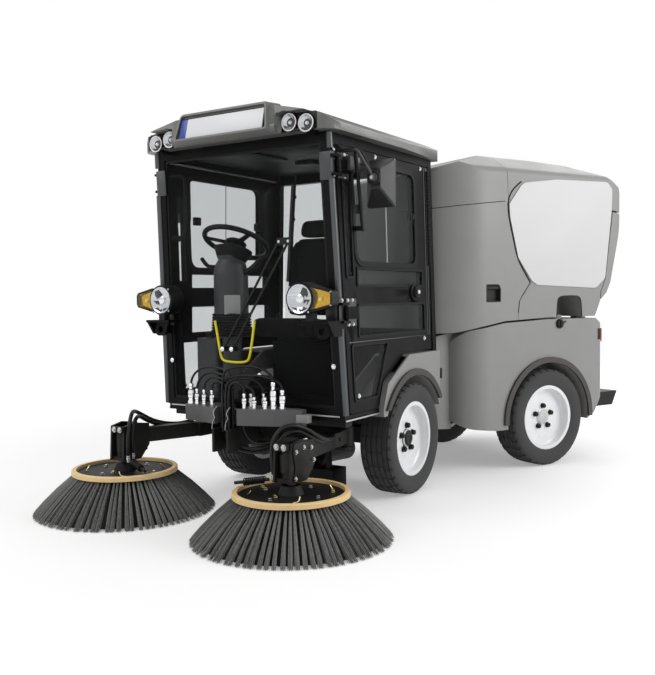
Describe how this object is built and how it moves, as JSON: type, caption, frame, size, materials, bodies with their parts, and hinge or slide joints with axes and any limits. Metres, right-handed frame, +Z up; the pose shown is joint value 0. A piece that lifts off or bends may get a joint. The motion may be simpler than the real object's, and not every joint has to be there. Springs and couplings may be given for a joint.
{
  "type": "compact road sweeper",
  "caption": "Articulated compact road sweeper with a glazed cab, disc brooms ahead of the front wheels and a tipping rear hopper.",
  "frame": {"origin": "on the ground at the middle of the bounding box, as the machine stands steered to the left", "axes": "+Z up, -Y the way the front unit faces, +X to the front unit's left"},
  "size_m": [2.3009, 3.7619, 2.003],
  "materials": {
    "tyre_rubber": "matt",
    "rim_enamel": "gloss",
    "tinted_glass": "polished",
    "grey_panel": "satin",
    "white_panel": "satin",
    "arch_plastic": "grained",
    "bristle": "matt",
    "tan_plastic": "satin",
    "seat_fabric": "woven",
    "plated_steel": "polished",
    "plate_white": "satin",
    "lamp_lens": "polished",
    "lamp_red": "gloss",
    "grey_steel": "satin",
    "grey_plastic": "grained",
    "black_plastic": "grained",
    "engine_iron": "cast",
    "black_paint": "satin"
  },
  "bodies": {
    "front_unit": {"broom_brackets": "black_paint", "cab_floor": "black_paint", "cab_frame": "black_paint", "cab_glass": "tinted_glass", "cab_roof": "grey_panel", "coupling_consoles": "grey_steel", "front_arch_trims": "arch_plastic", "front_axle": "black_paint", "front_chassis": "black_paint", "front_fenders": "grey_panel", "headlamps": "lamp_lens", "hydraulic_couplings": "plated_steel", "number_plate": "plate_white", "seat_back": "seat_fabric", "seat_base": "black_plastic", "seat_cushion": "seat_fabric", "steering_column": "grey_plastic", "steering_wheel": "black_plastic", "suction_mouth": "black_paint", "washer_tank": "grey_plastic", "wiper": "black_paint", "work_lights": "lamp_lens"},
    "rear_unit": {"engine_block": "engine_iron", "lower_body": "grey_panel", "rear_arch_trims": "arch_plastic", "rear_axle": "black_paint", "rear_chassis": "black_paint", "tail_lamps": "lamp_red"},
    "hopper": {"hopper_front": "grey_panel", "hopper": "grey_panel", "hopper_panels": "white_panel"},
    "tailgate": {"tailgate": "grey_panel"},
    "wheel_front_left": {"tyre_front_left": "tyre_rubber", "rim_front_left": "rim_enamel"},
    "wheel_rear_left": {"tyre_rear_left": "tyre_rubber", "rim_rear_left": "rim_enamel"},
    "door_left": {"door_left": "black_paint", "door_glass_left": "tinted_glass", "mirror_left": "black_plastic"},
    "broom_carrier_left": {"broom_carrier_left": "black_paint"},
    "broom_arm_left": {"broom_arm_left": "black_paint"},
    "broom_left": {"broom_plate_left": "black_paint", "broom_ring_left": "tan_plastic", "bristles_left": "bristle"},
    "wheel_front_right": {"tyre_front_right": "tyre_rubber", "rim_front_right": "rim_enamel"},
    "wheel_rear_right": {"tyre_rear_right": "tyre_rubber", "rim_rear_right": "rim_enamel"},
    "door_right": {"door_right": "black_paint", "door_glass_right": "tinted_glass", "mirror_right": "black_plastic"},
    "broom_carrier_right": {"broom_carrier_right": "black_paint"},
    "broom_arm_right": {"broom_arm_right": "black_paint"},
    "broom_right": {"broom_plate_right": "black_paint", "broom_ring_right": "tan_plastic", "bristles_right": "bristle"}
  },
  "joints": [
    {"name": "wheel_front_left_turn", "type": "hinge", "parent": "front_unit", "child": "wheel_front_left", "pos_m": [0.3905, -0.357, 0.3075], "axis": [1, 0, 0], "continuous": true},
    {"name": "wheel_rear_left_turn", "type": "hinge", "parent": "rear_unit", "child": "wheel_rear_left", "pos_m": [0.78689, 0.79475, 0.3075], "axis": [0.9003, -0.4352, 0], "continuous": true},
    {"name": "door_left_hinge", "type": "hinge", "parent": "front_unit", "child": "door_left", "pos_m": [0.45995, -1.035, 1.015], "axis": [0.0221, 0.0559, -0.9982], "range_deg": [0, 80]},
    {"name": "broom_left_swing", "type": "hinge", "parent": "front_unit", "child": "broom_carrier_left", "pos_m": [0.303, -0.787, 0.372], "axis": [0, 0, 1], "range_deg": [-1.2, 30.8]},
    {"name": "broom_left_lift", "type": "hinge", "parent": "broom_carrier_left", "child": "broom_arm_left", "pos_m": [0.29763, -0.89687, 0.372], "axis": [-0.9988, 0.0489, 0], "range_deg": [0, 12]},
    {"name": "broom_left_spin", "type": "hinge", "parent": "broom_arm_left", "child": "broom_left", "pos_m": [0.38258, -1.41163, 0.25], "axis": [0, 0, 1], "continuous": true},
    {"name": "wheel_front_right_turn", "type": "hinge", "parent": "front_unit", "child": "wheel_front_right", "pos_m": [-0.6245, -0.357, 0.3075], "axis": [1, 0, 0], "continuous": true},
    {"name": "wheel_rear_right_turn", "type": "hinge", "parent": "rear_unit", "child": "wheel_rear_right", "pos_m": [-0.12693, 1.23651, 0.3075], "axis": [0.9003, -0.4352, 0], "continuous": true},
    {"name": "door_right_hinge", "type": "hinge", "parent": "front_unit", "child": "door_right", "pos_m": [-0.69395, -1.035, 1.015], "axis": [0.0221, -0.0559, 0.9982], "range_deg": [0, 80]},
    {"name": "broom_right_swing", "type": "hinge", "parent": "front_unit", "child": "broom_carrier_right", "pos_m": [-0.537, -0.787, 0.372], "axis": [0, 0, -1], "range_deg": [-7.1, 24.9]},
    {"name": "broom_right_lift", "type": "hinge", "parent": "broom_carrier_right", "child": "broom_arm_right", "pos_m": [-0.54295, -0.89684, 0.372], "axis": [-0.9985, 0.0541, 0], "range_deg": [0, 12]},
    {"name": "broom_right_spin", "type": "hinge", "parent": "broom_arm_right", "child": "broom_right", "pos_m": [-0.68037, -1.40014, 0.25], "axis": [0, 0, -1], "continuous": true},
    {"name": "steering_pivot", "type": "hinge", "parent": "front_unit", "child": "rear_unit", "pos_m": [-0.117, 0.091, 0.33], "axis": [0, 0, 1], "range_deg": [-10.2, 61.8]},
    {"name": "hopper_tip", "type": "hinge", "parent": "rear_unit", "child": "hopper", "pos_m": [0.50625, 1.38026, 0.958], "axis": [-0.9003, 0.4352, 0], "range_deg": [0, 50]},
    {"name": "tailgate_hinge", "type": "hinge", "parent": "hopper", "child": "tailgate", "pos_m": [0.62768, 1.63145, 1.626], "axis": [0.9003, -0.4352, 0], "range_deg": [0, 80]}
  ]
}
